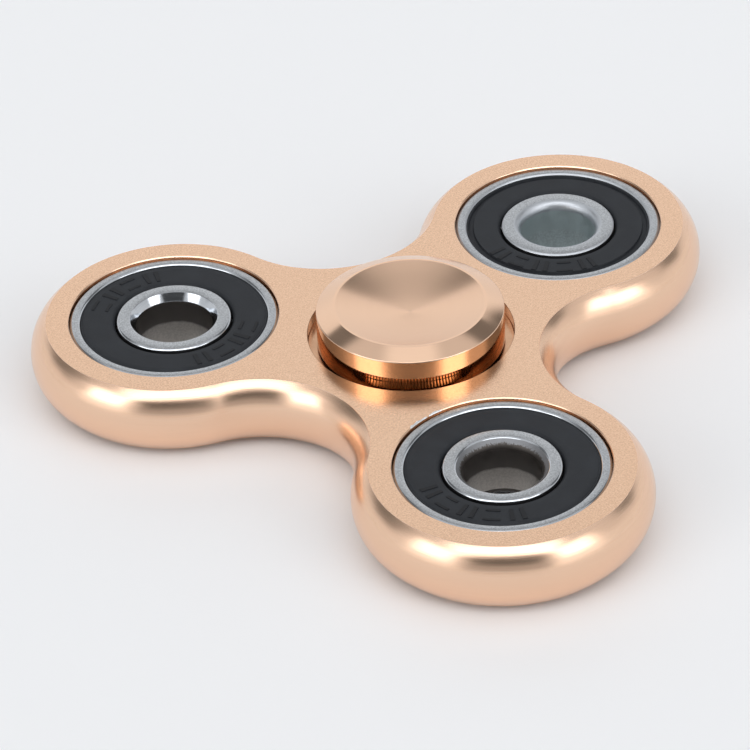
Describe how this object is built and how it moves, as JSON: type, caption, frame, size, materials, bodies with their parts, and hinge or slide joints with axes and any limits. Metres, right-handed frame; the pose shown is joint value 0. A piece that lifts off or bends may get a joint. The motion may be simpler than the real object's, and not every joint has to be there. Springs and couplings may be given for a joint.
{
  "type": "fidget spinner",
  "caption": "Hand spinner: a flat tri-lobed metal body turns on a small ball bearing between two dished finger caps, with a sealed ball bearing in each lobe.",
  "frame": {"origin": "centre of the centre bearing: on the spin axis, at the body's mid-plane", "axes": "+Z along the spin axis, out of the upper cap; bearing 1 lies on -X; the part rests on its lower cap"},
  "size_m": [0.068, 0.0738, 0.0118],
  "materials": {
    "satin_gold": "bead-blasted satin rose-gold anodising",
    "polished_gold": "turned and polished rose-gold anodising",
    "ring_steel": "ground bearing steel",
    "shield_steel": "pressed steel",
    "ball_steel": "lapped chrome steel",
    "seal_rubber": "matte black moulded rubber",
    "cage_nylon": "natural nylon"
  },
  "bodies": {
    "hub": {"upper_cap": "polished_gold", "lower_cap": "polished_gold", "centre_inner_ring": "ring_steel"},
    "rotor": {"body": "satin_gold", "centre_outer_ring": "ring_steel", "centre_upper_shield": "shield_steel", "centre_lower_shield": "shield_steel", "bearing_1_outer_ring": "ring_steel", "bearing_1_upper_seal": "seal_rubber", "bearing_1_lower_seal": "seal_rubber", "bearing_2_outer_ring": "ring_steel", "bearing_2_upper_seal": "seal_rubber", "bearing_2_lower_seal": "seal_rubber", "bearing_3_outer_ring": "ring_steel", "bearing_3_upper_seal": "seal_rubber", "bearing_3_lower_seal": "seal_rubber"},
    "centre_balls": {"centre_cage": "cage_nylon", "centre_ball_1": "ball_steel", "centre_ball_2": "ball_steel", "centre_ball_3": "ball_steel", "centre_ball_4": "ball_steel", "centre_ball_5": "ball_steel", "centre_ball_6": "ball_steel", "centre_ball_7": "ball_steel", "centre_ball_8": "ball_steel", "centre_ball_9": "ball_steel", "centre_ball_10": "ball_steel"},
    "bearing_1_inner": {"bearing_1_inner_ring": "ring_steel"},
    "bearing_1_balls": {"bearing_1_cage": "cage_nylon", "bearing_1_ball_1": "ball_steel", "bearing_1_ball_2": "ball_steel", "bearing_1_ball_3": "ball_steel", "bearing_1_ball_4": "ball_steel", "bearing_1_ball_5": "ball_steel", "bearing_1_ball_6": "ball_steel", "bearing_1_ball_7": "ball_steel"},
    "bearing_2_inner": {"bearing_2_inner_ring": "ring_steel"},
    "bearing_2_balls": {"bearing_2_cage": "cage_nylon", "bearing_2_ball_1": "ball_steel", "bearing_2_ball_2": "ball_steel", "bearing_2_ball_3": "ball_steel", "bearing_2_ball_4": "ball_steel", "bearing_2_ball_5": "ball_steel", "bearing_2_ball_6": "ball_steel", "bearing_2_ball_7": "ball_steel"},
    "bearing_3_inner": {"bearing_3_inner_ring": "ring_steel"},
    "bearing_3_balls": {"bearing_3_cage": "cage_nylon", "bearing_3_ball_1": "ball_steel", "bearing_3_ball_2": "ball_steel", "bearing_3_ball_3": "ball_steel", "bearing_3_ball_4": "ball_steel", "bearing_3_ball_5": "ball_steel", "bearing_3_ball_6": "ball_steel", "bearing_3_ball_7": "ball_steel"}
  },
  "joints": [
    {"name": "body_spin", "type": "hinge", "parent": "hub", "child": "rotor", "pos_m": [0, 0, 0], "axis": [0, 0, 1], "continuous": true},
    {"name": "centre_cage_spin", "type": "hinge", "parent": "hub", "child": "centre_balls", "pos_m": [0, 0, 0], "axis": [0, 0, 1], "continuous": true},
    {"name": "bearing_1_spin", "type": "hinge", "parent": "rotor", "child": "bearing_1_inner", "pos_m": [-0.0251, 0, 0], "axis": [0, 0, 1], "continuous": true},
    {"name": "bearing_1_cage_spin", "type": "hinge", "parent": "rotor", "child": "bearing_1_balls", "pos_m": [-0.0251, 0, 0], "axis": [0, 0, 1], "continuous": true},
    {"name": "bearing_2_spin", "type": "hinge", "parent": "rotor", "child": "bearing_2_inner", "pos_m": [0.01255, -0.02174, 0], "axis": [0, 0, 1], "continuous": true},
    {"name": "bearing_2_cage_spin", "type": "hinge", "parent": "rotor", "child": "bearing_2_balls", "pos_m": [0.01255, -0.02174, 0], "axis": [0, 0, 1], "continuous": true},
    {"name": "bearing_3_spin", "type": "hinge", "parent": "rotor", "child": "bearing_3_inner", "pos_m": [0.01255, 0.02174, 0], "axis": [0, 0, 1], "continuous": true},
    {"name": "bearing_3_cage_spin", "type": "hinge", "parent": "rotor", "child": "bearing_3_balls", "pos_m": [0.01255, 0.02174, 0], "axis": [0, 0, 1], "continuous": true}
  ],
  "couplings": [
    {"joint": "centre_cage_spin", "follows": "body_spin", "ratio": 0.58336},
    {"joint": "bearing_1_cage_spin", "follows": "bearing_1_spin", "ratio": 0.36773},
    {"joint": "bearing_2_cage_spin", "follows": "bearing_2_spin", "ratio": 0.36773},
    {"joint": "bearing_3_cage_spin", "follows": "bearing_3_spin", "ratio": 0.36773}
  ]
}
